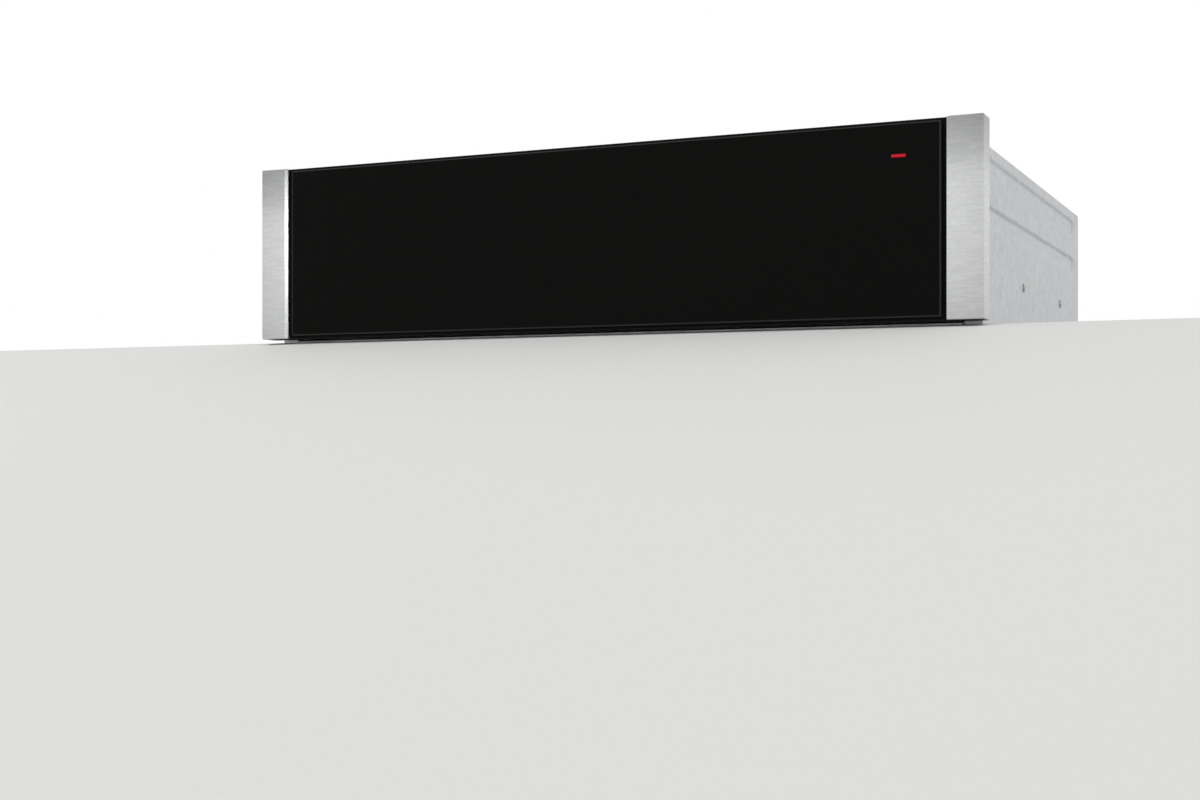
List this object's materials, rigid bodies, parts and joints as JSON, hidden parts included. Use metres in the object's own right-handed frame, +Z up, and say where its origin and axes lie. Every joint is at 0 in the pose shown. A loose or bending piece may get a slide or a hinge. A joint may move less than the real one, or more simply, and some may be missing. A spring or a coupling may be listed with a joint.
{
  "type": "built-in warming drawer",
  "caption": "Low built-in warming drawer with a handleless black glass front between steel trims, sheet-steel casing, ball slides, heated glass plate and push-to-open latch.",
  "frame": {"origin": "middle of the underside of the whole part's box, on the shelf that the casing stands on", "axes": "+X to the right seen from the front, -Y towards the user, +Z up"},
  "size_m": [0.595, 0.5716, 0.142],
  "materials": {
    "trim_steel": "horizontal brushed grain",
    "tray_steel": "fine brushed, satin",
    "zinc_sheet": "galvanised sheet, satin",
    "black_coat": "fine textured coating",
    "black_glass": "polished, printed black behind",
    "plate_glass": "polished, printed behind",
    "red_lens": "translucent red, lit",
    "aluminium": "rolled",
    "heater_sheath": "oxidised",
    "insulation": "mineral fibre felt",
    "black_plastic": "fine grain moulded",
    "grey_plastic": "moulded",
    "ceramic": "unglazed",
    "magnet": "ground",
    "spring_steel": "drawn wire and rolled strip",
    "lead_sheath": "silicone rubber"
  },
  "bodies": {
    "casing": {"casing_floor": "zinc_sheet", "casing_top": "zinc_sheet", "casing_rear": "zinc_sheet", "casing_side_left": "zinc_sheet", "casing_side_right": "zinc_sheet", "front_strip_top": "black_coat", "front_strip_bottom": "black_coat", "cabinet_slide_left": "zinc_sheet", "cabinet_slide_right": "zinc_sheet", "latch_housing": "black_plastic", "latch_spring": "spring_steel", "terminal_box": "black_plastic", "terminal_cover": "black_plastic", "terminal_block": "ceramic", "cable_gland": "black_plastic", "lead_rear": "lead_sheath"},
    "ejector": {"ejector_rod": "grey_plastic", "ejector_magnet": "magnet", "lead_front": "lead_sheath"},
    "drawer": {"front_glass": "black_glass", "front_carrier": "black_coat", "front_back_panel": "tray_steel", "trim_left": "trim_steel", "trim_right": "trim_steel", "indicator_lens": "red_lens", "lamp_module": "black_plastic", "tray_side_left": "tray_steel", "tray_side_right": "tray_steel", "tray_rear": "tray_steel", "base_pan": "zinc_sheet", "deck_frame": "tray_steel", "warming_plate": "plate_glass", "heat_spreader": "aluminium", "heating_element": "heater_sheath", "insulation_mat": "insulation", "temperature_limiter": "ceramic", "junction_block": "ceramic", "control_panel": "tray_steel", "control_housing": "black_plastic", "selector_switch": "grey_plastic", "front_bracket_left": "zinc_sheet", "front_bracket_right": "zinc_sheet", "drawer_slide_left": "zinc_sheet", "drawer_slide_right": "zinc_sheet", "striker_plate": "zinc_sheet"},
    "knob": {"selector_knob": "black_plastic", "selector_spindle": "spring_steel"},
    "middle_left": {"middle_slide_left": "zinc_sheet"},
    "outer_balls_left": {"outer_cage_left": "spring_steel"},
    "inner_balls_left": {"inner_cage_left": "spring_steel"},
    "middle_right": {"middle_slide_right": "zinc_sheet"},
    "outer_balls_right": {"outer_cage_right": "spring_steel"},
    "inner_balls_right": {"inner_cage_right": "spring_steel"}
  },
  "joints": [
    {"name": "ejector_slide", "type": "slide", "parent": "casing", "child": "ejector", "axis": [0, -1, 0], "range_m": [-0.003, 0.03], "deforming": ["latch_spring", "lead_rear"]},
    {"name": "drawer_slide", "type": "slide", "parent": "ejector", "child": "drawer", "axis": [0, -1, 0], "range_m": [0, 0.384], "deforming": ["lead_front"]},
    {"name": "selector_turn", "type": "hinge", "parent": "drawer", "child": "knob", "pos_m": [0.192, -0.24275, 0.0866], "axis": [0, 0, -1], "range_deg": [-120, 120]},
    {"name": "middle_slide_left_travel", "type": "slide", "parent": "casing", "child": "middle_left", "axis": [0, -1, 0], "range_m": [0, 0.192]},
    {"name": "outer_balls_left_travel", "type": "slide", "parent": "casing", "child": "outer_balls_left", "axis": [0, -1, 0], "range_m": [0, 0.096]},
    {"name": "inner_balls_left_travel", "type": "slide", "parent": "casing", "child": "inner_balls_left", "axis": [0, -1, 0], "range_m": [0, 0.288]},
    {"name": "middle_slide_right_travel", "type": "slide", "parent": "casing", "child": "middle_right", "axis": [0, -1, 0], "range_m": [0, 0.192]},
    {"name": "outer_balls_right_travel", "type": "slide", "parent": "casing", "child": "outer_balls_right", "axis": [0, -1, 0], "range_m": [0, 0.096]},
    {"name": "inner_balls_right_travel", "type": "slide", "parent": "casing", "child": "inner_balls_right", "axis": [0, -1, 0], "range_m": [0, 0.288]}
  ],
  "couplings": [
    {"joint": "middle_slide_left_travel", "follows": "drawer_slide", "ratio": 0.5},
    {"joint": "outer_balls_left_travel", "follows": "drawer_slide", "ratio": 0.25},
    {"joint": "inner_balls_left_travel", "follows": "drawer_slide", "ratio": 0.75},
    {"joint": "middle_slide_right_travel", "follows": "drawer_slide", "ratio": 0.5},
    {"joint": "outer_balls_right_travel", "follows": "drawer_slide", "ratio": 0.25},
    {"joint": "inner_balls_right_travel", "follows": "drawer_slide", "ratio": 0.75}
  ]
}
